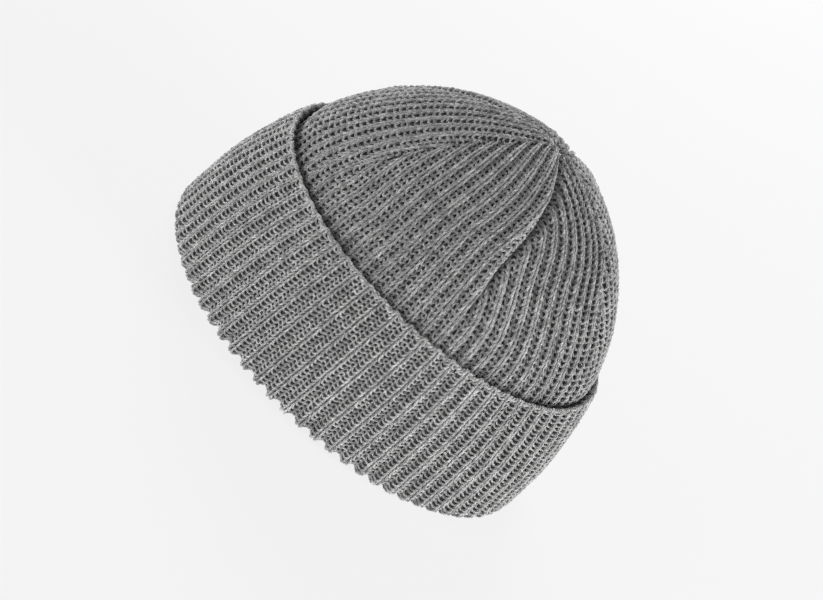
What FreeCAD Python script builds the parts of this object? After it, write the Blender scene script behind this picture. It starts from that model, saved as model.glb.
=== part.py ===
import FreeCAD, Part
import math
import os
import Sketcher

# A ribbed knit beanie with a turned-up cuff, standing on its brim.
# The origin is the centre of the resting plane, +Z runs up to the top of the crown, and sizes are in mm.
# The fabric is one knitted tube in life. Here it is split where it is shaped, folded or sewn.

doc = FreeCAD.newDocument("KnitBeanie")
sheet = doc.addObject("Spreadsheet::Sheet", "Dimensions")

DIMENSIONS = [
    # the outline of the crown: (r / body_radius) ^ outline_turn + (z / crown_height) ^ outline_rise = 1
    ("body_radius", 94.0),
    ("crown_height", 141.5),
    ("outline_rise", 3.1),
    ("outline_turn", 1.5),
    ("fabric_thickness", 2.6),
    # the cuff, measured up from the resting plane
    ("cuff_height", 70.0),
    ("cuff_stand", 3.8),
    ("cuff_flare", 3.4),
    ("fold_height", 9.0),
    ("fold_corner", 5.0),
    ("fold_gap", 0.3),
    ("hem_height", 3.4),
    ("hem_width", 3.0),
    # the crown's shaping lines
    ("gore_base", 85.5),
    ("gore_angle", 60.0),
    ("closure_radius", 7.0),
    ("knot_radius", 3.2),
    # sewn ridges on the inside of the fabric
    ("ridge_height", 2.4),
    ("ridge_angle", 4.0),
    ("ridge_top_radius", 12.0),
    ("cuff_ridge_height", 1.6),
    ("cuff_ridge_top", 56.0),
    ("back_seam_angle", 120.0),
    # the blank care label
    ("label_width", 24.0),
    ("label_height", 32.0),
    ("label_thickness", 1.2),
    ("label_base", 22.0),
    ("stitch_length", 2.6),
    ("stitch_radius", 0.35),
    ("stitch_pitch", 4.4),
    ("stitch_inset", 2.5),
]
STITCH_COUNT = 5
OUTLINE_POINTS = 12
GORE_NAMES = ["right_rear", "rear", "left_rear", "left_front", "front", "right_front"]


def fill_sheet():
    for row, (alias, value) in enumerate(DIMENSIONS, start=1):
        sheet.set("A%d" % row, alias)
        sheet.set("B%d" % row, str(value))
        sheet.setAlias("B%d" % row, alias)
    doc.recompute()


fill_sheet()
size = {alias: float(sheet.get(alias)) for alias, value in DIMENSIONS}


def bind(feature, name, expression):
    """Tie one property of a feature to the sheet. In the expression a word is a cell's alias."""
    for alias in sorted(size, key=len, reverse=True):
        expression = expression.replace(alias, "<<%s>>" % alias)
    feature.setExpression(name, expression.replace("<<", "Dimensions.").replace(">>", ""))


def outline_radius(z, inset=0.0):
    """Radius of the crown's surface at a height, or of a surface that far inside it."""
    share = (z / (size["crown_height"] - inset)) ** size["outline_rise"]
    return (size["body_radius"] - inset) * (1.0 - share) ** (1.0 / size["outline_turn"])


def outline_height(radius, inset=0.0):
    """Height at which the surface reaches a radius."""
    share = (radius / (size["body_radius"] - inset)) ** size["outline_turn"]
    return (size["crown_height"] - inset) * (1.0 - share) ** (1.0 / size["outline_rise"])


def outline_points(base, end_radius, inset=0.0):
    """Points along the surface from a height up to a radius, evenly spaced in the outline's own angle."""
    height = size["crown_height"] - inset
    radius = size["body_radius"] - inset
    first = math.asin((base / height) ** (size["outline_rise"] / 2.0))
    last = math.acos((end_radius / radius) ** (size["outline_turn"] / 2.0))
    points = []
    for step in range(OUTLINE_POINTS):
        angle = first + (last - first) * step / (OUTLINE_POINTS - 1)
        r = radius * math.cos(angle) ** (2.0 / size["outline_turn"])
        z = height * math.sin(angle) ** (2.0 / size["outline_rise"])
        points.append((r, z))
    return points


def cuff_radius(z, depth=0.0):
    """Radius of the cuff's outer face at a height, less a depth into the cuff."""
    flare = size["cuff_flare"] * (1.0 - z / size["cuff_height"])
    return outline_radius(z) + size["cuff_stand"] + flare - depth


def arc_points(low, high, depth):
    """Three points of the cuff's bowed face between two heights."""
    heights = (low, (low + high) / 2.0, high)
    return [(cuff_radius(z, depth), z) for z in heights]


def as_vector(point):
    return FreeCAD.Vector(point[0], point[1], 0.0)


def spline(points):
    curve = Part.BSplineCurve()
    curve.interpolate([as_vector(point) for point in points])
    return curve


def arc(points):
    return Part.Arc(*[as_vector(point) for point in points])


def line(start, end):
    return Part.LineSegment(as_vector(start), as_vector(end))


def new_body(label):
    body = doc.addObject("PartDesign::Body", label)
    body.Label = label
    return body


def turned(label, outline, angle, placement_angle="0"):
    """A body swept about +Z by a closed outline in the radius and height plane, centred on an azimuth."""
    body = new_body(label)
    plane = [item for item in body.Origin.OriginFeatures if item.Role == "XZ_Plane"][0]
    sketch = body.newObject("Sketcher::SketchObject", label + "_section")
    sketch.AttachmentSupport = (plane, [""])
    sketch.MapMode = "FlatFace"
    for edge in outline:
        sketch.addGeometry(edge, False)
    sketch.addConstraint([Sketcher.Constraint("Block", index) for index in range(len(outline))])
    doc.recompute()
    sweep = body.newObject("PartDesign::Revolution", label + "_sweep")
    sweep.Profile = sketch
    sweep.ReferenceAxis = (sketch, ["V_Axis"])
    sweep.Midplane = True
    bind(sweep, "Angle", angle)
    body.Tip = sweep
    turn = FreeCAD.Rotation(FreeCAD.Vector(0, 0, 1), 1)
    body.Placement = FreeCAD.Placement(FreeCAD.Vector(0, 0, 0), turn)
    bind(body, "Placement.Rotation.Angle", placement_angle)
    return body


def crown_gore(index):
    """One of the sectors between two shaping lines, from the head band to the closure."""
    skin = size["fabric_thickness"]
    outer = outline_points(size["gore_base"], size["closure_radius"])
    inner = outline_points(size["gore_base"], size["closure_radius"], skin)
    outline = [spline(outer), line(outer[-1], inner[-1]), spline(inner), line(inner[0], outer[0])]
    turned("crown_gore_" + GORE_NAMES[index], outline, "gore_angle", "gore_angle * %.1f" % (index + 0.5))


def crown_seam(index):
    """The linked ridge inside a shaping line, tapering towards the top of the crown."""
    skin = size["fabric_thickness"]
    outer = outline_points(size["gore_base"], size["ridge_top_radius"], skin)
    inner = outline_points(size["gore_base"], size["ridge_top_radius"], skin + size["ridge_height"])
    outline = [spline(outer), line(outer[-1], inner[-1]), spline(inner), line(inner[0], outer[0])]
    turned("crown_seam_%d" % (index + 1), outline, "ridge_angle", "gore_angle * %d" % index)


def crown_closure():
    """The gathered disc that the gores run into."""
    radius = size["closure_radius"]
    low = outline_height(radius, size["fabric_thickness"])
    high = outline_height(radius)
    top = size["crown_height"]
    dome = arc([(0.0, top), (radius / 2.0, outline_height(radius / 2.0)), (radius, high)])
    outline = [line((0.0, low), (radius, low)), line((radius, low), (radius, high)), dome]
    outline.append(line((0.0, top), (0.0, low)))
    turned("crown_closure", outline, "6 * gore_angle")


def closure_knot():
    """The fastened yarn end, sunk a little into the closure from inside."""
    knot = doc.addObject("Part::Sphere", "closure_knot")
    knot.Label = "closure_knot"
    bind(knot, "Radius", "knot_radius")
    low = outline_height(size["closure_radius"], size["fabric_thickness"])
    sunk = size["knot_radius"] * 0.8
    knot.Placement = FreeCAD.Placement(FreeCAD.Vector(0, 0, low - sunk), FreeCAD.Rotation())


def head_band():
    """The inner layer behind the cuff, straight so that the cuff can slide, then following the crown."""
    skin = size["fabric_thickness"]
    low = size["fold_height"]
    bend = size["cuff_height"]
    base = size["gore_base"]
    outer = outline_points(bend, outline_radius(base))
    inner = outline_points(bend, outline_radius(base, skin), skin)
    outer_foot = (outer[0][0], low)
    inner_foot = (inner[0][0], low)
    outline = [line(outer_foot, outer[0]), spline(outer), line(outer[-1], inner[-1]), spline(inner)]
    outline += [line(inner[0], inner_foot), line(inner_foot, outer_foot)]
    turned("head_band", outline, "6 * gore_angle")


def back_seam():
    """The sewn ridge up the inside of the head band, in line with a crown seam."""
    outer = outline_radius(size["cuff_height"], size["fabric_thickness"])
    inner = outer - size["ridge_height"]
    low = size["fold_height"]
    high = size["cuff_height"] - size["ridge_height"]
    corners = [(inner, low), (outer, low), (outer, high), (inner, high)]
    outline = [line(corners[i], corners[(i + 1) % 4]) for i in range(4)]
    turned("back_seam", outline, "ridge_angle", "back_seam_angle")


def cuff_band():
    """The outer layer of the turned-up cuff, from the brim fold to the hem."""
    low = size["fold_height"]
    high = size["cuff_height"] - size["hem_height"]
    outer = arc_points(low, high, 0.0)
    inner = arc_points(low, high, size["fabric_thickness"])
    outline = [arc(outer), line(outer[-1], inner[-1]), arc(inner), line(inner[0], outer[0])]
    turned("cuff_band", outline, "6 * gore_angle")


def cuff_hem():
    """The bound-off edge: a lip with a round top along the cuff's upper edge."""
    base = size["cuff_height"] - size["hem_height"]
    half = size["hem_width"] / 2.0
    middle = cuff_radius(base) - half + (size["hem_width"] - size["fabric_thickness"]) / 2.0
    shoulder = size["cuff_height"] - half
    top = arc([(middle + half, shoulder), (middle, size["cuff_height"]), (middle - half, shoulder)])
    feet = line((middle - half, base), (middle + half, base))
    sides = [line((middle + half, base), (middle + half, shoulder))]
    sides.append(line((middle - half, shoulder), (middle - half, base)))
    turned("cuff_hem", [feet, sides[0], top, sides[1]], "6 * gore_angle")


def quarter(centre, radius, start):
    """A quarter circle that starts at an angle and turns anticlockwise."""
    points = []
    for step in range(3):
        angle = math.radians(start + 45.0 * step)
        points.append((centre[0] + radius * math.cos(angle), centre[1] + radius * math.sin(angle)))
    return arc(points)


def brim_fold():
    """The soft roll where the fabric turns up: a channel with a flat underside that the hat rests on."""
    skin = size["fabric_thickness"]
    corner = size["fold_corner"]
    inner = outline_radius(size["cuff_height"], skin)
    outer = cuff_radius(size["fold_height"])
    inner_top = size["fold_height"] - size["fold_gap"]
    outer_top = size["fold_height"]
    near = (inner + corner, corner)
    far = (outer - corner, corner)
    outline = [
        line((inner, inner_top), (inner, corner)),
        quarter(near, corner, 180.0),
        line((near[0], 0.0), (far[0], 0.0)),
        quarter(far, corner, 270.0),
        line((outer, corner), (outer, outer_top)),
        line((outer, outer_top), (outer - skin, outer_top)),
        line((outer - skin, outer_top), (outer - skin, corner)),
        quarter(far, corner - skin, 270.0),
        line((far[0], skin), (near[0], skin)),
        quarter(near, corner - skin, 180.0),
        line((inner + skin, corner), (inner + skin, inner_top)),
        line((inner + skin, inner_top), (inner, inner_top)),
    ]
    turned("brim_fold", outline, "6 * gore_angle")


def cuff_back_seam():
    """The flat seam on the hidden face of the cuff."""
    low = size["fold_height"]
    high = size["cuff_ridge_top"]
    skin = size["fabric_thickness"]
    outer = arc_points(low, high, skin)
    inner = arc_points(low, high, skin + size["cuff_ridge_height"])
    outline = [arc(outer), line(outer[-1], inner[-1]), arc(inner), line(inner[0], outer[0])]
    turned("cuff_back_seam", outline, "ridge_angle", "back_seam_angle")


def on_back_seam(distance, sideways, z):
    """A point inside the hat, that far out along the back seam's azimuth and to the side of it."""
    angle = math.radians(size["back_seam_angle"])
    x = distance * math.cos(angle) - sideways * math.sin(angle)
    y = distance * math.sin(angle) + sideways * math.cos(angle)
    return FreeCAD.Vector(x, y, z)


def label_face():
    """Distance from the axis to the label's outer face, which touches the back seam's ridge."""
    ridge = outline_radius(size["cuff_height"], size["fabric_thickness"]) - size["ridge_height"]
    return ridge * math.cos(math.radians(size["ridge_angle"] / 2.0))


def care_label():
    """A blank folded tape that hangs over the back seam, sewn along its top edge."""
    label = doc.addObject("Part::Box", "care_label")
    label.Label = "care_label"
    bind(label, "Length", "label_thickness")
    bind(label, "Width", "label_width")
    bind(label, "Height", "label_height")
    inner_face = label_face() - size["label_thickness"]
    corner = on_back_seam(inner_face, -size["label_width"] / 2.0, size["label_base"])
    turn = FreeCAD.Rotation(FreeCAD.Vector(0, 0, 1), size["back_seam_angle"])
    label.Placement = FreeCAD.Placement(corner, turn)


def label_stitching():
    """A row of separate stitches along the label's top edge, lying on its face."""
    stitches = []
    distance = label_face() - size["label_thickness"] - size["stitch_radius"]
    z = size["label_base"] + size["label_height"] - size["stitch_inset"]
    turn = FreeCAD.Rotation(FreeCAD.Vector(0, 0, 1), size["back_seam_angle"])
    along = FreeCAD.Rotation(FreeCAD.Vector(1, 0, 0), -90)
    for index in range(STITCH_COUNT):
        stitch = doc.addObject("Part::Cylinder", "stitch_%d" % (index + 1))
        bind(stitch, "Radius", "stitch_radius")
        bind(stitch, "Height", "stitch_length")
        sideways = (index - (STITCH_COUNT - 1) / 2.0) * size["stitch_pitch"] - size["stitch_length"] / 2.0
        stitch.Placement = FreeCAD.Placement(on_back_seam(distance, sideways, z), turn * along)
        stitches.append(stitch)
    row = doc.addObject("Part::Compound", "label_stitching")
    row.Label = "label_stitching"
    row.Links = stitches


def build():
    head_band()
    for index in range(len(GORE_NAMES)):
        crown_gore(index)
        crown_seam(index)
    crown_closure()
    closure_knot()
    back_seam()
    care_label()
    label_stitching()
    brim_fold()
    cuff_band()
    cuff_hem()
    cuff_back_seam()
    doc.recompute()


def sub_parts():
    kinds = ("PartDesign::Body", "Part::Sphere", "Part::Box", "Part::Compound")
    return [item for item in doc.Objects if item.TypeId in kinds]


def check():
    for item in doc.Objects:
        if "Invalid" in item.State or "Error" in item.State:
            raise RuntimeError("failed feature: " + item.Name)
    for part in sub_parts():
        if part.Shape.isNull() or not part.Shape.isValid():
            raise RuntimeError("bad shape: " + part.Label)


def export():
    os.makedirs("parts", exist_ok=True)
    for part in sub_parts():
        part.Shape.exportStep("parts/%s.step" % part.Label)
        print("%-24s %2d solid(s) %10.1f mm3" % (part.Label, len(part.Shape.Solids), part.Shape.Volume))


build()
check()
export()
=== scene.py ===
import math

import bpy
import numpy as np
from mathutils import Matrix, Vector


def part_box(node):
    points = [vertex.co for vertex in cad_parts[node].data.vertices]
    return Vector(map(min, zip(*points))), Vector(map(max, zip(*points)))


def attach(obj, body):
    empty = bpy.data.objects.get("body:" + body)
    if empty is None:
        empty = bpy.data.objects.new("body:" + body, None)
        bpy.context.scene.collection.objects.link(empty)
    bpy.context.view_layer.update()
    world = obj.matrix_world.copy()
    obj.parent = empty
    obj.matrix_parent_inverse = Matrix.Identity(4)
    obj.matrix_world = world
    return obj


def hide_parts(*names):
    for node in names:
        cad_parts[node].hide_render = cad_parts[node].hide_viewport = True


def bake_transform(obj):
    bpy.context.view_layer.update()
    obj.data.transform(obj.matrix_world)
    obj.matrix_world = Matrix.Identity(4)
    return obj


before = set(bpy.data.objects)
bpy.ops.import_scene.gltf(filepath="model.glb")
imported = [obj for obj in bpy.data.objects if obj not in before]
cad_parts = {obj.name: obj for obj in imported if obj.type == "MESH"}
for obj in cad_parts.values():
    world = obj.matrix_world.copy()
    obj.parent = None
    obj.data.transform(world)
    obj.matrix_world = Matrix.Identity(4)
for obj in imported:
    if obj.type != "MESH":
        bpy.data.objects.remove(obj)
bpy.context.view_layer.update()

MM = 0.001

# ---------------------------------------------------------------- sizes read from the frame

OUTLINE_RISE = 3.1        # the crown's outline is a superellipse: this power in height
OUTLINE_TURN = 1.5        # and this one in radius
CROWN_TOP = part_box("crown_closure")[1].z
CUFF_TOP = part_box("cuff_hem")[1].z
FOLD_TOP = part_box("cuff_band")[0].z
BRIM_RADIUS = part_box("brim_fold")[1].x
BAND_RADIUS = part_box("head_band")[1].x
GORE_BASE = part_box("head_band")[1].z
BODY_RADIUS = BAND_RADIUS / (1.0 - (CUFF_TOP / CROWN_TOP) ** OUTLINE_RISE) ** (1.0 / OUTLINE_TURN)
HEM_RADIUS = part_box("cuff_hem")[1].x
FOLD_CORNER = 5.0 * MM    # radius of the brim's rounded edges, to the fabric's outer face
FABRIC = 2.6 * MM         # thickness of one layer
HALF_FABRIC = FABRIC / 2.0

# ---------------------------------------------------------------- the knit's gauge

RIBS = 72
GORES = 6
RIBS_PER_GORE = RIBS // GORES
CUFF_COURSE = 2.25 * MM   # from one row of stitches to the next
CROWN_COURSE = 2.83 * MM
YARN_RADIUS = 0.48 * MM
CROWN_YARN_RADIUS = 0.58 * MM
RELIEF = 0.70 * MM        # how far knit wales stand out and purl wales sink in
PLY_TWIST = 2.9 * MM      # length of yarn in which its two plies turn once round each other
NARROWING = 0.68          # ribs left across a gore fall with radius to this power
CUFF_SPIRAL = math.radians(1.4)   # how far the cuff's ribs lean from its foot to its hem
GORE_NAMES = ["right_rear", "rear", "left_rear", "left_front", "front", "right_front"]
CREASES = [0.5, 0.5, 0.5, 0.4, 0.3, 1.2]    # how deep each shaping line is, from crown_seam_1
BRIM_SHIFT = (-4.7 * MM, 4.3 * MM)          # how far the brim hangs off the crown's axis
CROWN_LEAN = (0.8 * MM, 1.5 * MM)           # how far the top leans off it
CROWN_TWIST = math.radians(6.8)             # how far the shaping lines turn on their way to the top
FRONT_SPREAD = math.radians(6.0)            # how much wider the front gores are drawn than the back ones
EDGE_RIB = 0.35                             # from a gore's last knit wale to its shaping line, in ribs
HIGH_SHARE = 0.15                           # the share of a gore's lost ribs that end at that line
GORE_ANGLE = 2.0 * math.pi / GORES
RIB_ANGLE = 2.0 * math.pi / RIBS
WAVINESS = 0.5 * MM                         # the height of the fabric's slow unevenness
CREASE_DEPTH = 4.6 * MM                     # how far a full crease's lower side goes under
CREASE_EDGE = 4.4 * MM                      # how far its higher side bends down to meet it
CREASE_LIP = 1.3 * MM                       # how far the fabric beside the higher side stands up
GROUND_FRONT = 1.15 * MM                    # how far the ground's front face lies behind the loops
GROUND_THICKNESS = 1.0 * MM
HEM_HUG = 3.4 * MM                          # how much closer the hem lies at the back

# Two tables follow. Each is half a rib repeat of one course, from the middle of a knit wale to the
# middle of a purl wale: how far across in rib repeats, how far up in courses, and how far out of the
# fabric in millimetres.
CUFF_LOOP = np.array([
    (0.000, 1.24, -0.70),     # the knit loop's head, behind the next course's legs
    (0.058, 1.13, -0.25),
    (0.086, 0.80, 0.50),      # its leg, in front
    (0.110, 0.38, 0.82),
    (0.146, 0.00, 0.50),
    (0.205, -0.18, -0.10),    # across to the purl wale
    (0.275, -0.17, -0.12),
    (0.342, -0.03, -0.05),
    (0.385, 0.36, -0.70),     # the purl loop's leg, behind
    (0.378, 0.80, -0.65),
    (0.408, 1.12, -0.20),
    (0.500, 1.24, 0.02),      # its head, in front
])
# the same twelve places for the crown's thicker yarn
CROWN_LOOP = np.array([
    (0.000, 1.20, -0.20),
    (0.068, 1.08, -0.05),
    (0.098, 0.80, 0.52),
    (0.122, 0.40, 0.95),
    (0.152, 0.02, 0.60),
    (0.200, -0.20, 0.05),
    (0.250, -0.16, 0.00),
    (0.305, 0.10, -0.15),
    (0.332, 0.48, -0.40),
    (0.338, 0.85, -0.35),
    (0.400, 1.06, 0.00),
    (0.500, 1.30, 0.15),
])
FINE = (33, 6)            # points for each rib repeat and sides round the yarn, where it shows
COARSE = (22, 5)          # and where the cuff covers it


def loop_table(half):
    """The loop as periodic columns over one repeat, starting at a knit wale's middle."""
    back = half[-2:0:-1].copy()
    back[:, 0] = 1.0 - back[:, 0]
    whole = np.vstack([half, back])
    steps = np.linspace(0.0, 1.0, len(whole), endpoint=False)
    return steps, whole


def smooth_periodic(steps, values, at, gain=0.0):
    """Catmull-Rom through evenly spaced values that repeat, each turn adding gain."""
    count = len(steps)
    position = at * count
    base = np.floor(position).astype(int)
    f = position - base

    def pick(offset):
        index = base + offset
        return values[index % count] + gain * np.floor_divide(index, count)

    a, b, c, d = pick(-1), pick(0), pick(1), pick(2)
    square = (2 * a - 5 * b + 4 * c - d) * f ** 2
    cube = (3 * b - a - 3 * c + d) * f ** 3
    return 0.5 * (2 * b + (c - a) * f + square + cube)


CUFF_TABLE = loop_table(CUFF_LOOP)
CROWN_TABLE = loop_table(CROWN_LOOP)


def loop_at(table, t):
    """Across (ribs), up (courses) and out (metres) for positions along a course, in rib repeats."""
    steps, points = table
    across = smooth_periodic(steps, points[:, 0], t, 1.0)
    up = smooth_periodic(steps, points[:, 1], t)
    out = smooth_periodic(steps, points[:, 2], t) * MM
    return across, up, out


# ---------------------------------------------------------------- section curves


class Section:
    """A curve of radius and height, measured along its length, that fabric follows round the hat."""

    def __init__(self, points):
        points = np.array(points)
        run = np.hypot(*np.diff(points, axis=0).T)
        length = np.concatenate([[0.0], np.cumsum(run)])
        self.length = length[-1]
        self.s = np.linspace(0.0, self.length, 2400)
        self.r = np.interp(self.s, length, points[:, 0])
        self.z = np.interp(self.s, length, points[:, 1])
        dr = np.gradient(self.r, self.s)
        dz = np.gradient(self.z, self.s)
        scale = np.hypot(dr, dz)
        self.nr = dz / scale
        self.nz = -dr / scale

    def at(self, s):
        return [np.interp(s, self.s, row) for row in (self.r, self.z, self.nr, self.nz)]

    def place(self, s, theta, out):
        r, z, nr, nz = self.at(s)
        theta = theta + FRONT_SPREAD * np.cos(theta) * rise(z, 0.75 * CROWN_TOP, 0.92 * CROWN_TOP)
        theta = theta + CROWN_TWIST * rise(z, 0.72 * CROWN_TOP, CROWN_TOP)
        radius = r + out * nr
        height = z + out * nz
        brim = np.clip(1.0 - height / CUFF_TOP, 0.0, 1.0)
        top = rise(height, 0.55 * CROWN_TOP, 0.97 * CROWN_TOP)
        x = radius * np.cos(theta) + BRIM_SHIFT[0] * brim + CROWN_LEAN[0] * top
        y = radius * np.sin(theta) + BRIM_SHIFT[1] * brim + CROWN_LEAN[1] * top
        return np.stack([x, y, height], -1)

    def normal(self, s, theta):
        r, z, nr, nz = self.at(s)
        return np.stack([nr * np.cos(theta), nr * np.sin(theta), nz], -1)

    def s_of_height(self, z):
        return float(np.interp(z, self.z, self.s))


def rise(value, low, high):
    """From 0 at low to 1 at high, smoothly."""
    share = np.clip((value - low) / (high - low), 0.0, 1.0)
    return share * share * (3.0 - 2.0 * share)


def crown_radius(z, inset=0.0):
    share = (z / (CROWN_TOP - inset)) ** OUTLINE_RISE
    return (BODY_RADIUS - inset) * (1.0 - share) ** (1.0 / OUTLINE_TURN)


def crown_points(low, inset, count=500):
    """The crown's outline from a height to the axis, in even steps of its own angle."""
    height = CROWN_TOP - inset
    first = math.asin((low / height) ** (OUTLINE_RISE / 2.0))
    angle = np.linspace(first, math.pi / 2.0, count)
    r = (BODY_RADIUS - inset) * np.cos(angle).clip(0.0) ** (2.0 / OUTLINE_TURN)
    z = height * np.sin(angle) ** (2.0 / OUTLINE_RISE)
    return list(zip(r, z))


def cuff_radius(z):
    """The cuff's outer face, bowed between the brim and the hem."""
    stand = BRIM_RADIUS - crown_radius(FOLD_TOP)
    hem = HEM_RADIUS - crown_radius(CUFF_TOP) - 0.5 * MM
    share = (z - FOLD_TOP) / (CUFF_TOP - FOLD_TOP)
    return crown_radius(z) + stand + (hem - stand) * share


def quarter(centre, radius, start, end, count=30):
    """About a quarter of a circle, between two angles in degrees."""
    angle = np.radians(np.linspace(start, end, count))
    return [(centre[0] + radius * math.cos(a), centre[1] + radius * math.sin(a)) for a in angle]


def band_section():
    """The inner layer: up behind the cuff, then over the crown to its middle."""
    top = crown_points(CUFF_TOP, HALF_FABRIC)
    return Section([(top[0][0], FOLD_TOP)] + top)


def cuff_section():
    """From the foot of the inner layer, under the brim, up the outer face and over the hem."""
    bend = FOLD_CORNER - HALF_FABRIC
    inner = BAND_RADIUS - HALF_FABRIC
    outer = cuff_radius(FOLD_TOP) - HALF_FABRIC
    near = (inner + bend, FOLD_CORNER)
    far = (outer - bend, FOLD_CORNER)
    lip = 1.6 * MM
    points = [(inner, FOLD_TOP)]
    points += quarter(near, bend, 180.0, 270.0)
    points += quarter(far, bend, 270.0, 360.0)
    for z in np.linspace(FOLD_TOP, CUFF_TOP - lip, 60):
        points.append((cuff_radius(z) - HALF_FABRIC, z))
    r, z = points[-1]
    points += quarter((r - lip, z), lip, 5.0, 100.0)
    return Section(points)


BAND = band_section()
CUFF = cuff_section()
CUFF_FOOT = FOLD_TOP - FOLD_CORNER + math.pi / 2.0 * (FOLD_CORNER - HALF_FABRIC)
FOLD_END = 2.0 * CUFF_FOOT + BRIM_RADIUS - BAND_RADIUS - 2.0 * FOLD_CORNER + 3.0 * MM
GORE_FOOT = BAND.s_of_height(GORE_BASE)
BASE_RADIUS = BAND.at(GORE_FOOT)[0]


def wave(theta, s, scale):
    """The slow, smooth unevenness of handled fabric, from -scale to scale."""
    a = np.sin(3.0 * theta + 1.3 + s * 31.0) + 0.7 * np.sin(5.0 * theta - 0.6 - s * 53.0)
    b = 0.5 * np.sin(11.0 * theta + 2.1 + s * 90.0)
    return scale * (a + b) / 2.2


# ---------------------------------------------------------------- mesh building


def new_mesh(name, points, faces, material, attributes=None):
    """A smooth mesh object from arrays, all quads or all triangles."""
    mesh = bpy.data.meshes.new(name)
    points = np.ascontiguousarray(points, dtype=np.float32)
    faces = np.ascontiguousarray(faces, dtype=np.int32)
    sides = faces.shape[1]
    mesh.vertices.add(len(points))
    mesh.vertices.foreach_set("co", points.ravel())
    mesh.loops.add(faces.size)
    mesh.loops.foreach_set("vertex_index", faces.ravel())
    mesh.polygons.add(len(faces))
    mesh.polygons.foreach_set("loop_start", np.arange(0, faces.size, sides, dtype=np.int32))
    mesh.polygons.foreach_set("loop_total", np.full(len(faces), sides, dtype=np.int32))
    for key, values in (attributes or {}).items():
        layer = mesh.attributes.new(key, "FLOAT", "POINT")
        layer.data.foreach_set("value", np.ascontiguousarray(values, dtype=np.float32))
    mesh.update(calc_edges=True)
    mesh.validate(clean_customdata=False)
    mesh.shade_smooth()
    mesh.materials.append(material)
    piece = bpy.data.objects.new(name, mesh)
    bpy.context.scene.collection.objects.link(piece)
    return piece


def tube(path, normal, radius, sides):
    """Rings of points round a path, drawn in at both ends: two plies twisted into one strand."""
    step = np.linalg.norm(np.diff(path, axis=0), axis=1)
    run = np.concatenate([[0.0], np.cumsum(step)])
    tangent = np.gradient(path, axis=0)
    tangent /= np.linalg.norm(tangent, axis=1, keepdims=True)
    side = np.cross(tangent, normal)
    side /= np.linalg.norm(side, axis=1, keepdims=True)
    up = np.cross(side, tangent)
    radius = np.broadcast_to(np.asarray(radius, dtype=float), (len(path),)).copy()
    radius[[0, -1]] *= 0.1
    turn = np.arange(sides) * 2.0 * math.pi / sides
    ply = np.cos(2.0 * turn[None] - 2.0 * math.pi * run[:, None] / PLY_TWIST)
    size = radius[:, None] * (1.0 + 0.10 * ply)
    ring = up[:, None] * np.cos(turn)[None, :, None] + side[:, None] * np.sin(turn)[None, :, None]
    points = path[:, None] + ring * size[..., None]
    return points.reshape(-1, 3), ply.ravel()


def tube_faces(count, sides, start):
    ring = np.arange(sides)
    a = np.arange(count - 1)[:, None] * sides + ring[None]
    b = np.arange(count - 1)[:, None] * sides + np.roll(ring, -1)[None]
    quads = np.stack([a, b, b + sides, a + sides], -1).reshape(-1, 4) + start
    return quads


class Strands:
    """Collects strands of yarn for one piece."""

    def __init__(self, sides):
        self.sides = sides
        self.points, self.faces, self.ply, self.shade = [], [], [], []
        self.count = 0

    def add(self, path, normal, radius, shade=0.0):
        points, ply = tube(path, normal, radius, self.sides)
        self.points.append(points)
        self.faces.append(tube_faces(len(path), self.sides, self.count))
        self.ply.append(ply)
        self.shade.append(np.repeat(np.broadcast_to(shade, (len(path),)), self.sides))
        self.count += len(points)

    def piece(self, name, material):
        attributes = {"ply": np.concatenate(self.ply), "shade": np.concatenate(self.shade)}
        points = np.concatenate(self.points)
        return new_mesh(name, points, np.concatenate(self.faces), material, attributes)


# ---------------------------------------------------------------- knitting

rng = np.random.default_rng(1147)


def slack(count, amount):
    """Small smooth random offsets along a course."""
    knots = rng.normal(size=count // 6 + 4) * amount
    return np.interp(np.arange(count) / 6.0, np.arange(len(knots)), knots)


def course_path(section, s0, course, theta_of, t, shape):
    """One course of yarn: where it runs, which way is out, and how light its fibre is."""
    across, up, out = loop_at(CUFF_TABLE if section is CUFF else CROWN_TABLE, t)
    count = len(t)
    relief = np.cos(2.0 * math.pi * across)
    across = across + slack(count, 0.013)
    up = up + slack(count, 0.08)
    s = np.clip(s0 + up * course, 0.0, section.length - 0.2 * MM)
    theta = theta_of(across, s)
    out = out + slack(count, 0.10 * MM) + RELIEF * (relief - 0.10) + shape(theta, s, relief)
    return section.place(s, theta, out), section.normal(s, theta), slack(count, 0.5)


def band_shape(theta, s, relief):
    """The inner layer dips where the hem's edge presses on it."""
    z = BAND.at(s)[1]
    front = 0.5 - 0.5 * np.sin(theta)
    dip = 2.0 * MM * front * np.exp(-((z - CUFF_TOP + 1.0 * MM) / (5.5 * MM)) ** 2)
    return wave(theta, s, WAVINESS) - dip


def cuff_shape(theta, s, relief):
    """The cuff's ribs stand out more round the fold and clear the table, and its hem hugs the back."""
    r, z, nr, nz = CUFF.at(s)
    fold = np.exp(-(z / (7.0 * MM)) ** 2) * (s > CUFF_FOOT * 0.5)
    back = 0.5 + 0.5 * np.sin(theta)
    hug = HEM_HUG * back * rise(z, 0.3 * CUFF_TOP, CUFF_TOP) * np.clip(nr, 0.0, 1.0)
    lifted = 1.2 * MM * np.clip(-nz, 0.0, 1.0) ** 2
    return wave(theta, s, WAVINESS) + 0.45 * MM * fold * relief - hug - lifted


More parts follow.
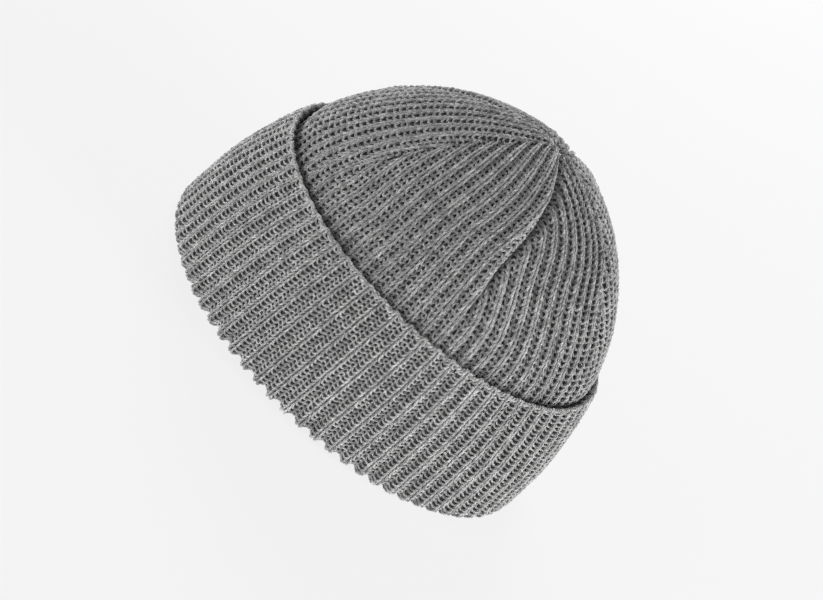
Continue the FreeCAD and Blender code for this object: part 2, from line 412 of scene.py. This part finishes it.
def gore_shape(index):
    """A gore's two edges: it goes under the gore before it, and makes a lip over the next one."""
    low = index * GORE_ANGLE
    high = low + GORE_ANGLE
    low_crease = CREASES[index]
    high_crease = CREASES[(index + 1) % GORES]

    def shape(theta, s, relief):
        r, z, nr, nz = BAND.at(s)
        grown = rise(s, GORE_FOOT - 4.0 * MM, GORE_FOOT + 24.0 * MM)
        from_low = np.maximum(theta - low, 0.0) * r
        from_high = np.maximum(high - theta, 0.0) * r
        under = CREASE_DEPTH * low_crease * np.exp(-(from_low / (1.8 * MM)) ** 1.4)
        edge = CREASE_EDGE * high_crease * np.exp(-(from_high / (1.1 * MM)) ** 2)
        lip = CREASE_LIP * high_crease * np.exp(-((from_high - 3.2 * MM) / (2.0 * MM)) ** 2)
        dimple = 1.6 * MM * np.exp(-(r / (4.5 * MM)) ** 2)
        grown = grown * (0.35 + 0.65 * rise(r, 10.0 * MM, 30.0 * MM))
        return band_shape(theta, s, relief) + grown * (lip - under - edge) - dimple
    return shape


def knit_round(name, section, s_values, course, first, last, detail, material, shape, spiral=0.0):
    """Courses that run round the hat, from one rib to another."""
    segments, sides = detail
    strands = Strands(sides)
    t = np.arange(first * segments, last * segments + 1) / segments

    def theta_of(across, s):
        return (across - EDGE_RIB) * RIB_ANGLE + spiral * s / section.length

    radius = YARN_RADIUS if section is CUFF else CROWN_YARN_RADIUS
    for s0 in s_values:
        path, normal, shade = course_path(section, s0, course, theta_of, t, shape)
        strands.add(path, normal, radius, shade)
    return strands.piece(name, material)


def ribs_across(s):
    """How many ribs a gore has left at a place on its section."""
    r = np.maximum(BAND.at(s)[0], 1.0 * MM)
    return RIBS_PER_GORE * np.minimum(r / BASE_RADIUS, 1.0) ** NARROWING


def high_edge(s):
    """Where a gore's higher shaping line is, counted in ribs from its last knit wale."""
    return EDGE_RIB - HIGH_SHARE * (RIBS_PER_GORE - ribs_across(s))


def knit_gore(name, index, material):
    """One sector of the crown: its ribs run beside its high edge and mostly end at its low one."""
    segments, sides = FINE
    high = (index + 1) * GORE_ANGLE
    strands = Strands(sides)
    top = BAND.length - 4.5 * MM
    shape = gore_shape(index)

    def theta_of(across, s):
        return high - (high_edge(s) - across) * GORE_ANGLE / ribs_across(s)

    for s0 in np.arange(GORE_FOOT, top, CROWN_COURSE):
        ribs = float(ribs_across(s0))
        last = float(high_edge(s0))
        t = np.arange(math.ceil((last - ribs) * segments), math.floor(last * segments) + 1) / segments
        path, normal, shade = course_path(BAND, s0, CROWN_COURSE, theta_of, t, shape)
        width = BAND.at(s0)[0] / BASE_RADIUS * RIBS_PER_GORE / ribs
        strands.add(path, normal, CROWN_YARN_RADIUS * width ** 0.5, shade)
    return strands.piece(name, material)


def sheet_faces(rows, columns):
    """Quads for a grid of points with its copy behind it, joined by a wall round the edge."""
    behind = rows * columns
    index = np.arange(behind).reshape(rows, columns)
    a, b, c, d = index[:-1, :-1], index[:-1, 1:], index[1:, 1:], index[1:, :-1]
    front = np.stack([a, b, c, d], -1).reshape(-1, 4)
    back = np.stack([a, d, c, b], -1).reshape(-1, 4) + behind
    rim = np.concatenate([index[0], index[1:, -1], index[-1, -2::-1], index[-2:0:-1, 0]])
    ahead = np.roll(rim, -1)
    wall = np.stack([ahead, rim, rim + behind, ahead + behind], -1)
    return np.concatenate([front, back, wall])


def ground_sheet(name, section, s_values, theta_values, rib_of, course, material, shape):
    """The close fabric behind the loops: a ribbed sheet with a face on each side, whose dark material
    paints the shade between the loops.
    """
    s, theta = np.meshgrid(s_values, theta_values, indexing="ij")
    rib = rib_of(theta, s)
    relief = np.cos(2.0 * math.pi * rib)
    front = -GROUND_FRONT + (0.15 * MM + RELIEF) * (relief - 0.10) + shape(theta, s, relief)
    back = front - GROUND_THICKNESS
    points = np.concatenate([section.place(s, theta, out).reshape(-1, 3) for out in (front, back)])
    attributes = {"rib": np.tile(rib.ravel(), 2), "course": np.tile((s / course).ravel(), 2)}
    return new_mesh(name, points, sheet_faces(*s.shape), material, attributes)


def rib_round(spiral, section):
    """The rib at a place, for fabric whose ribs run round the whole hat."""
    def rib(theta, s):
        return (theta - spiral * s / section.length) / RIB_ANGLE + EDGE_RIB
    return rib


# ---------------------------------------------------------------- materials


def node_material(name):
    material = bpy.data.materials.new(name)
    material.use_nodes = True
    nodes = material.node_tree.nodes
    nodes.clear()
    output = nodes.new("ShaderNodeOutputMaterial")
    shader = nodes.new("ShaderNodeBsdfPrincipled")
    material.node_tree.links.new(shader.outputs["BSDF"], output.inputs["Surface"])
    return material, nodes, material.node_tree.links, shader


def noise(nodes, links, coordinates, scale, detail=3.0, roughness=0.6):
    node = nodes.new("ShaderNodeTexNoise")
    node.inputs["Scale"].default_value = scale
    node.inputs["Detail"].default_value = detail
    node.inputs["Roughness"].default_value = roughness
    links.new(coordinates.outputs["Object"], node.inputs["Vector"])
    return node


def ramp(nodes, links, source, stops):
    node = nodes.new("ShaderNodeValToRGB")
    elements = node.color_ramp.elements
    while len(elements) < len(stops):
        elements.new(0.5)
    for element, (position, level) in zip(elements, stops):
        element.position = position
        element.color = (level, level, level * 0.992, 1.0)
    links.new(source, node.inputs["Fac"])
    return node


def read(nodes, name):
    node = nodes.new("ShaderNodeAttribute")
    node.attribute_name = name
    return node.outputs["Fac"]


def maths(nodes, links, operation, first, second=None):
    node = nodes.new("ShaderNodeMath")
    node.operation = operation
    for socket, value in zip(node.inputs, (first, second)):
        if value is None:
            continue
        if isinstance(value, (int, float)):
            socket.default_value = value
        else:
            links.new(value, socket)
    return node.outputs[0]


def matt(shader, sheen):
    shader.inputs["Roughness"].default_value = 0.95
    shader.inputs["Specular IOR Level"].default_value = 0.12
    shader.inputs["Sheen Weight"].default_value = sheen
    shader.inputs["Sheen Roughness"].default_value = 0.55


def bump(nodes, links, shader, height, strength, distance):
    node = nodes.new("ShaderNodeBump")
    node.inputs["Strength"].default_value = strength
    node.inputs["Distance"].default_value = distance
    links.new(height, node.inputs["Height"])
    links.new(node.outputs["Normal"], shader.inputs["Normal"])


def heather(nodes, links, coordinates, dark, mid, light):
    """Light and dark fibres carded together, with slow drifts along the yarn."""
    flecks = noise(nodes, links, coordinates, 1700.0, 3.0, 0.8).outputs["Fac"]
    drift = noise(nodes, links, coordinates, 260.0, 2.0, 0.6).outputs["Fac"]
    level = maths(nodes, links, "MULTIPLY", maths(nodes, links, "SUBTRACT", drift, 0.5), 0.35)
    level = maths(nodes, links, "ADD", level, flecks)
    return level, ramp(nodes, links, level, [(0.30, dark), (0.50, mid), (0.70, light)])


def yarn_material(name, dark, mid, light, sheen=0.4):
    """Heather grey spun yarn: two plies with a shaded groove between them, matt and fibrous."""
    material, nodes, links, shader = node_material(name)
    coordinates = nodes.new("ShaderNodeTexCoord")
    level, tone = heather(nodes, links, coordinates, dark, mid, light)
    ply = read(nodes, "ply")
    for value, amount in ((ply, 0.06), (read(nodes, "shade"), 0.07)):
        level = maths(nodes, links, "ADD", level, maths(nodes, links, "MULTIPLY", value, amount))
    links.new(level, tone.inputs["Fac"])
    links.new(tone.outputs["Color"], shader.inputs["Base Color"])
    matt(shader, sheen)
    fibres = noise(nodes, links, coordinates, 3600.0, 2.0, 0.7).outputs["Fac"]
    height = maths(nodes, links, "ADD", fibres, maths(nodes, links, "MULTIPLY", ply, 0.5))
    bump(nodes, links, shader, height, 0.7, 0.16 * MM)
    return material


def ground_material(name, dark, mid, light):
    """The same yarn seen as closed fabric, in dark tones that paint the shade seen between the loops:
    rows of V-shaped stitches made by painted shading and bump.
    """
    material, nodes, links, shader = node_material(name)
    coordinates = nodes.new("ShaderNodeTexCoord")
    level, tone = heather(nodes, links, coordinates, dark, mid, light)
    rib = maths(nodes, links, "FRACT", read(nodes, "rib"))
    fold = maths(nodes, links, "ABSOLUTE", maths(nodes, links, "SUBTRACT", rib, 0.5))
    row = maths(nodes, links, "ADD", read(nodes, "course"), maths(nodes, links, "MULTIPLY", fold, 1.6))
    stitch = maths(nodes, links, "SINE", maths(nodes, links, "MULTIPLY", row, 2.0 * math.pi))
    level = maths(nodes, links, "ADD", level, maths(nodes, links, "MULTIPLY", stitch, 0.06))
    links.new(level, tone.inputs["Fac"])
    links.new(tone.outputs["Color"], shader.inputs["Base Color"])
    matt(shader, 0.1)
    bump(nodes, links, shader, stitch, 0.8, 0.5 * MM)
    return material


def tape_material(name):
    """Blank satin tape: fine weave lines across a pale cloth."""
    material, nodes, links, shader = node_material(name)
    coordinates = nodes.new("ShaderNodeTexCoord")
    weave = nodes.new("ShaderNodeTexWave")
    weave.inputs["Scale"].default_value = 900.0
    weave.inputs["Distortion"].default_value = 0.6
    weave.bands_direction = "Z"
    links.new(coordinates.outputs["Object"], weave.inputs["Vector"])
    level = maths(nodes, links, "MULTIPLY", weave.outputs["Fac"], 0.3)
    cloud = noise(nodes, links, coordinates, 180.0).outputs["Fac"]
    level = maths(nodes, links, "ADD", level, cloud)
    tone = ramp(nodes, links, level, [(0.2, 0.55), (0.6, 0.68), (1.0, 0.78)])
    links.new(tone.outputs["Color"], shader.inputs["Base Color"])
    shader.inputs["Roughness"].default_value = 0.55
    shader.inputs["Sheen Weight"].default_value = 0.3
    bump(nodes, links, shader, weave.outputs["Fac"], 0.4, 0.06 * MM)
    return material


def stage_material():
    """A pale floor that is mostly self-lit, so that the hat's shadow on it stays faint."""
    material = bpy.data.materials.new("pale_floor")
    material.use_nodes = True
    nodes = material.node_tree.nodes
    links = material.node_tree.links
    nodes.clear()
    output = nodes.new("ShaderNodeOutputMaterial")
    glow = nodes.new("ShaderNodeEmission")
    glow.inputs["Color"].default_value = (1.0, 1.0, 1.0, 1.0)
    glow.inputs["Strength"].default_value = FLOOR_GLOW
    paint = nodes.new("ShaderNodeBsdfDiffuse")
    paint.inputs["Color"].default_value = (FLOOR_PAINT, FLOOR_PAINT, FLOOR_PAINT, 1.0)
    both = nodes.new("ShaderNodeAddShader")
    links.new(glow.outputs[0], both.inputs[0])
    links.new(paint.outputs[0], both.inputs[1])
    links.new(both.outputs[0], output.inputs["Surface"])
    return material


# ---------------------------------------------------------------- stage, lights and camera

BACKDROP = 0.887          # the pale grey behind the hat, as linear light
CEILING = 0.25            # the studio gets darker overhead
FLOOR_PAINT = 0.10
FLOOR_GLOW = 0.820
CAMERA_AZIMUTH = math.radians(13.2)
CAMERA_ELEVATION = math.radians(21.06)
CAMERA_ROLL = math.radians(45.0)
CAMERA_DISTANCE = 1.5916
CAMERA_LENS = 158.5
CAMERA_CENTRE = 0.6085            # the height that it is set from, as a share of the hat's
CAMERA_LOOK = (0.0025, -0.0417)   # from that point, to the right and up in the unrolled view
LIGHTS = [                        # name, place and watts
    ("key", (1.5, 0.2, 0.3), 27.0),
    ("front", (-0.6, -1.5, 0.05), 19.0),
    ("rim", (-0.8, 1.2, 0.7), 20.0),
]
LIGHT_SIZE = 0.9
LIGHT_AIM = (0.0, 0.0, 0.07)
FLOOR_RADIUS = 30.0
FLOOR_HEIGHT = -0.0006            # below the brim's yarn, some of which hangs just under z = 0


def make_camera():
    data = bpy.data.cameras.new("camera")
    data.lens = CAMERA_LENS
    data.sensor_width = 36.0
    camera = bpy.data.objects.new("camera", data)
    bpy.context.scene.collection.objects.link(camera)
    bpy.context.scene.camera = camera
    a, e = CAMERA_AZIMUTH, CAMERA_ELEVATION
    back = Vector((math.sin(a) * math.cos(e), -math.cos(a) * math.cos(e), math.sin(e)))
    right = Vector((math.cos(a), math.sin(a), 0.0))
    up = back.cross(right)
    centre = Vector((0.0, 0.0, CROWN_TOP * CAMERA_CENTRE))
    camera.location = centre + back * CAMERA_DISTANCE
    look = centre + right * CAMERA_LOOK[0] + up * CAMERA_LOOK[1]
    away = (camera.location - look).normalized()
    level = up.cross(away).normalized()
    upright = away.cross(level)
    turned_right = level * math.cos(CAMERA_ROLL) + upright * math.sin(CAMERA_ROLL)
    turned_up = away.cross(turned_right)
    axes = Matrix((turned_right, turned_up, away)).transposed()
    camera.rotation_euler = axes.to_euler()


def area_light(name, place, size, watts):
    data = bpy.data.lights.new(name, "AREA")
    data.energy = watts
    data.size = size
    light = bpy.data.objects.new(name, data)
    light.location = place
    away = Vector(place) - Vector(LIGHT_AIM)
    light.rotation_euler = away.to_track_quat("Z", "Y").to_euler()
    bpy.context.scene.collection.objects.link(light)


def make_stage():
    place = (0.0, 0.0, FLOOR_HEIGHT)
    bpy.ops.mesh.primitive_circle_add(vertices=96, radius=FLOOR_RADIUS, fill_type="NGON", location=place)
    floor = bpy.context.object
    floor.name = "studio_floor"
    floor.data.materials.append(stage_material())
    world = bpy.data.worlds.new("studio")
    world.use_nodes = True
    background = world.node_tree.nodes["Background"]
    sky = world.node_tree.nodes
    direction = sky.new("ShaderNodeTexCoord")
    height = sky.new("ShaderNodeSeparateXYZ")
    fade = sky.new("ShaderNodeValToRGB")
    fade.color_ramp.elements[0].position = 0.18
    fade.color_ramp.elements[0].color = (BACKDROP, BACKDROP, BACKDROP, 1.0)
    fade.color_ramp.elements[1].position = 0.60
    fade.color_ramp.elements[1].color = (CEILING, CEILING, CEILING, 1.0)
    world.node_tree.links.new(direction.outputs["Generated"], height.inputs[0])
    world.node_tree.links.new(height.outputs["Z"], fade.inputs["Fac"])
    world.node_tree.links.new(fade.outputs["Color"], background.inputs["Color"])
    background.inputs["Strength"].default_value = 1.0
    bpy.context.scene.world = world
    bpy.context.scene.view_settings.view_transform = "Standard"
    for name, where, watts in LIGHTS:
        area_light(name, where, LIGHT_SIZE, watts)


# ---------------------------------------------------------------- the hat

YARN = yarn_material("heather_yarn", 0.08, 0.30, 0.78, 0.8)
# the cuff's yarn in darker tones: painted shade on the crown, the inner layer and the closure
CROWN_YARN_PAINTED_SHADE = yarn_material("heather_yarn_crown_painted_shade", 0.065, 0.25, 0.70, 0.8)
# near-black tones for the fabric behind the loops: painted shade seen through the gaps between stitches
GROUND_PAINTED_SHADE = ground_material("heather_ground_painted_shade", 0.05, 0.13, 0.26)
LINKING = yarn_material("linking_yarn", 0.10, 0.24, 0.44, 0.2)
THREAD = yarn_material("label_thread", 0.45, 0.60, 0.72, 0.1)
TAPE = tape_material("label_tape")

HEM_START = CUFF.length - 5.5 * MM    # from here on, the rows of the cuff belong to its hem


def rope(strands, section, s0, out, theta, turns, offset, radius, shape):
    """Two strands twisted round each other along a line on the fabric."""
    s = np.broadcast_to(s0, theta.shape)
    middle = section.place(s, theta, out + shape(theta, s, 0.0))
    normal = section.normal(s, theta)
    along = np.gradient(middle, axis=0)
    along /= np.linalg.norm(along, axis=1, keepdims=True)
    side = np.cross(along, normal)
    phase = turns * 2.0 * math.pi * np.linspace(0.0, 1.0, len(theta))
    for start in (0.0, math.pi):
        swing = np.cos(phase + start)[:, None] * side + np.sin(phase + start)[:, None] * normal
        strands.add(middle + swing * offset, normal, radius, slack(len(theta), 0.5))


def bind_off():
    """The bound-off edge: two strands round each other along the hem, a little wavy at each rib."""
    strands = Strands(FINE[1])
    theta = np.linspace(0.0, 2.0 * math.pi, RIBS * 24 + 1)
    bumps = 0.45 * MM * np.cos(theta * RIBS)
    along = CUFF.length - 2.3 * MM + bumps
    rope(strands, CUFF, along, 0.20 * MM, theta, RIBS * 2, 0.50 * MM, 0.58 * MM, cuff_shape)
    return strands.piece("cuff_hem_chain", YARN)


def stretch(piece):
    """Part of the inner layer: its placement is baked into its mesh, and it is tied to no body."""
    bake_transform(piece)


def linked_seam(name, section, s_values, theta, out, width, shape, node, body):
    """Overcast stitches on the hidden side of two edges: a coil of thin yarn over two strands."""
    strands = Strands(5)
    length = abs(s_values[-1] - s_values[0])
    coils = max(int(length / (2.4 * MM)), 4)
    t = np.linspace(0.0, 1.0, coils * 14 + 1)    # 14 points for each coil
    s = np.interp(t, np.linspace(0.0, 1.0, len(s_values)), s_values)
    r = np.maximum(section.at(s)[0], 4.0 * MM)
    phase = coils * 2.0 * math.pi * t
    around = np.full_like(t, theta)
    depth = out + shape(around, s, 0.0) + 0.75 * MM * np.sin(phase)
    path = section.place(s, around + width / 2.0 * np.cos(phase) / r, depth)
    strands.add(path, section.normal(s, around), 0.38 * MM, slack(len(t), 0.5))
    for side in (-1.0, 1.0):
        edge = section.place(s, around + side * width * 0.28 / r, out + shape(around, s, 0.0))
        strands.add(edge, section.normal(s, around), 0.55 * MM, slack(len(t), 0.5))
    piece = strands.piece(name, LINKING)
    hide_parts(node)
    if node == "back_seam":
        stretch(piece)
    else:
        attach(piece, body)


def knit_closure():
    """The last loops drawn together: short strands that dive into the middle, and a knot inside."""
    strands = Strands(8)
    count = 18
    for index in range(count):
        t = np.linspace(0.0, 1.0, 26)
        reach = 10.5 * MM if index % 2 else 8.0 * MM
        s = BAND.length - reach * (1.0 - t) - 0.4 * MM
        theta = (index + 0.5) * 2.0 * math.pi / count + 0.5 * t + 0.05 * np.sin(7.0 * t + index)
        r = BAND.at(s)[0]
        dive = 2.6 * MM * np.exp(-(r / (2.2 * MM)) ** 2) + 1.6 * MM * np.exp(-(r / (4.5 * MM)) ** 2)
        out = -0.9 * MM + 1.3 * MM * np.sin(math.pi * np.clip(t * 1.15, 0.0, 1.0)) - dive
        path = BAND.place(s, theta, out)
        strands.add(path, BAND.normal(s, theta), 0.55 * MM * (1.0 - 0.35 * t), slack(len(t), 0.5))
    gather = strands.piece("crown_closure_gather", CROWN_YARN_PAINTED_SHADE)
    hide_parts("crown_closure")
    knot = Strands(8)
    low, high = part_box("closure_knot")
    middle = (low + high) / 2.0
    size = (high.x - low.x) / 2.0 - 0.7 * MM
    t = np.linspace(0.0, 2.0 * math.pi, 160)
    bow = np.cos(3.0 * t)
    x = (2.0 + bow) / 3.0 * np.cos(2.0 * t) * size
    y = (2.0 + bow) / 3.0 * np.sin(2.0 * t) * size
    path = np.stack([middle.x + x, middle.y + y, middle.z + np.sin(3.0 * t) * size * 0.7], -1)
    path += np.array([CROWN_LEAN[0], CROWN_LEAN[1], 0.0])
    normal = path - path.mean(axis=0)
    normal /= np.linalg.norm(normal, axis=1, keepdims=True)
    knot.add(path, normal, 0.7 * MM, slack(len(t), 0.5))
    tail = np.linspace(0.0, 1.0, 30)
    start = np.array([middle.x + CROWN_LEAN[0], middle.y + CROWN_LEAN[1], middle.z - size * 0.5])
    path = start + np.stack([3.0 * MM * np.sin(3.0 * tail), 5.0 * MM * tail, -4.0 * MM * tail], -1)
    knot.add(path, np.tile([1.0, 0.0, 0.3], (30, 1)), 0.5 * MM, slack(30, 0.5))
    fastened = knot.piece("closure_knot_yarn", LINKING)
    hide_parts("closure_knot")
    for piece in (gather, fastened):
        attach(piece, "crown")


def sew_label():
    """A blank woven tape, folded at its lower end and sewn along its top edge over the back seam."""
    low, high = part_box("care_label")
    azimuth = math.atan2(low.y + high.y, low.x + high.x)
    across = Vector((-math.sin(azimuth), math.cos(azimuth), 0.0))
    outward = Vector((math.cos(azimuth), math.sin(azimuth), 0.0))
    middle = Vector(((low.x + high.x) / 2.0, (low.y + high.y) / 2.0, 0.0))
    half_width = 12.0 * MM
    half_thick = 0.5 * MM
    columns, rows = 25, 33
    u = np.linspace(-1.0, 1.0, columns)
    v = np.linspace(0.0, 1.0, rows)
    front, back = [], []
    for face, store in ((-1.0, front), (1.0, back)):
        for share in v:
            z = low.z + (high.z - low.z) * share
            curl = 0.5 * MM * math.sin(2.4 * share + 0.4) * (1.0 - share)
            round_off = math.sqrt(max(0.0, 1.0 - (1.0 - min(share / 0.03, 1.0)) ** 2))
            for x in u:
                thin = half_thick * (0.25 + 0.75 * math.sqrt(max(0.0, 1.0 - abs(x) ** 16)) * round_off)
                out = face * thin - curl * (0.4 + 0.6 * x * x)
                point = middle + across * (x * half_width) + outward * out
                store.append((point.x, point.y, z))
    faces = sheet_faces(rows, columns)[:, ::-1]    # its first face looks inward
    label = new_mesh("care_label_tape", np.array(front + back), faces, TAPE)
    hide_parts("care_label")
    stitches = Strands(6)
    z = (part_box("label_stitching")[0].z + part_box("label_stitching")[1].z) / 2.0
    for number in range(5):
        t = np.linspace(-1.0, 1.0, 15)
        sideways = (number - 2) * 4.4 * MM + t * 1.3 * MM
        out = -half_thick - 0.25 * MM * np.cos(t * math.pi / 2.0)
        path = np.array([list(middle + across * a + outward * b) for a, b in zip(sideways, out)])
        path[:, 2] = z + 0.12 * MM * t
        stitches.add(path, np.tile(-np.array(outward), (15, 1)), 0.28 * MM)
    thread = stitches.piece("label_stitching_thread", THREAD)
    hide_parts("label_stitching")
    for piece in (label, thread):
        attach(piece, "crown")


def knit_cuff():
    """The outer layer: the fold, the cuff and its hem."""
    rows = np.arange(2.0 * MM, CUFF.length - 2.4 * MM, CUFF_COURSE)
    fold_rows = rows[rows < FOLD_END]
    band_rows = rows[(rows >= FOLD_END) & (rows < HEM_START)]
    hem_rows = rows[rows >= HEM_START]
    pieces = []
    cuff = (YARN, cuff_shape, CUFF_SPIRAL)
    for part, first in enumerate(range(0, RIBS, RIBS // 2)):
        name = "brim_fold_knit_%d" % (part + 1)
        piece = knit_round(name, CUFF, fold_rows, CUFF_COURSE, first, first + RIBS // 2, FINE, *cuff)
        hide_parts("brim_fold")
        pieces.append(piece)
    for part, first in enumerate(range(0, RIBS, RIBS_PER_GORE)):
        name = "cuff_band_knit_%d" % (part + 1)
        piece = knit_round(name, CUFF, band_rows, CUFF_COURSE, first, first + RIBS_PER_GORE, FINE, *cuff)
        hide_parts("cuff_band")
        pieces.append(piece)
    hem = knit_round("cuff_hem_knit", CUFF, hem_rows, CUFF_COURSE, 0, RIBS, FINE, *cuff)
    chain = bind_off()
    for piece in (hem, chain):
        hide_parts("cuff_hem")
        pieces.append(piece)
    around = np.linspace(0.0, 2.0 * math.pi, RIBS * 8 + 1)
    s_values = np.linspace(0.0, CUFF.length - 1.0 * MM, 80)
    gauge = (rib_round(CUFF_SPIRAL, CUFF), CUFF_COURSE)
    ground = ground_sheet("cuff_ground_painted_shade", CUFF, s_values, around, *gauge, GROUND_PAINTED_SHADE, cuff_shape)
    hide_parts("cuff_band")
    pieces.append(ground)
    for piece in pieces:
        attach(piece, "cuff")


def knit_band():
    """The inner layer, in coarser strands where the cuff covers it."""
    shown = BAND.s_of_height(CUFF_TOP - 4.0 * MM)
    pieces = []
    upper_rows = np.arange(GORE_FOOT - CROWN_COURSE, shown, -CROWN_COURSE)
    lower_rows = np.arange(upper_rows[-1] - CROWN_COURSE, 1.0 * MM, -CROWN_COURSE)
    band = (CROWN_YARN_PAINTED_SHADE, band_shape)
    upper = knit_round("head_band_knit", BAND, upper_rows, CROWN_COURSE, 0, RIBS, FINE, *band)
    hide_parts("head_band")
    pieces.append(upper)
    for part, first in enumerate(range(0, RIBS, RIBS // 2)):
        name = "head_band_lower_knit_%d" % (part + 1)
        last = first + RIBS // 2
        piece = knit_round(name, BAND, lower_rows, CROWN_COURSE, first, last, COARSE, *band)
        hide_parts("head_band")
        pieces.append(piece)
    around = np.linspace(0.0, 2.0 * math.pi, RIBS * 8 + 1)
    s_values = np.linspace(0.0, GORE_FOOT + 0.5 * MM, 70)
    gauge = (rib_round(0.0, BAND), CROWN_COURSE)
    ground = ground_sheet("head_band_ground_painted_shade", BAND, s_values, around, *gauge, GROUND_PAINTED_SHADE, band_shape)
    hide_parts("head_band")
    pieces.append(ground)
    for piece in pieces:
        stretch(piece)


def knit_crown():
    """The gores, each as a sheet with its loops."""
    for index, side in enumerate(GORE_NAMES):
        piece = knit_gore("crown_gore_%s_knit" % side, index, CROWN_YARN_PAINTED_SHADE)
        high = (index + 1) * GORE_ANGLE
        around = np.linspace(high - GORE_ANGLE, high, RIBS_PER_GORE * 8 + 1)
        s_values = np.linspace(GORE_FOOT, BAND.length - 1.0 * MM, 90)

        def rib(theta, s, high=high):
            return high_edge(s) - (high - theta) / GORE_ANGLE * ribs_across(s)

        name = "crown_gore_%s_ground" % side
        ground = ground_sheet(name, BAND, s_values, around, rib, CROWN_COURSE, GROUND_PAINTED_SHADE, gore_shape(index))
        for part in (piece, ground):
            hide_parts("crown_gore_" + side)
            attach(part, "crown")
        share = gore_share()


def gore_share():
    """How much of its rectangle a gore fills when it is laid flat."""
    s = np.linspace(GORE_FOOT, BAND.length, 200)
    return float(np.mean(BAND.at(s)[0]) / BASE_RADIUS)


def sew_seams():
    """The linked shaping lines, and the back seams of the inner layer and the cuff."""
    for index in range(GORES):
        node = "crown_seam_%d" % (index + 1)
        top = BAND.s_of_height(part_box(node)[1].z - 1.5 * MM)
        s_values = np.array([GORE_FOOT, top])
        seam = (index * GORE_ANGLE, -4.4 * MM, 3.2 * MM)
        linked_seam(node + "_linking", BAND, s_values, *seam, band_shape, node, "crown")
    low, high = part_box("back_seam")
    theta = math.atan2(low.y + high.y, low.x + high.x)
    s_values = np.array([BAND.s_of_height(low.z), BAND.s_of_height(high.z)])
    seam = (theta, -3.4 * MM, 3.2 * MM)
    linked_seam("back_seam_linking", BAND, s_values, *seam, band_shape, "back_seam", "crown")
    low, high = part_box("cuff_back_seam")
    s_values = np.array([FOLD_END, CUFF.length - (CUFF_TOP - high.z)])
    seam = (theta, -2.9 * MM, 3.4 * MM)
    linked_seam("cuff_back_seam_linking", CUFF, s_values, *seam, cuff_shape, "cuff_back_seam", "cuff")


make_camera()
make_stage()
knit_cuff()
knit_band()
knit_crown()
sew_seams()
knit_closure()
sew_label()
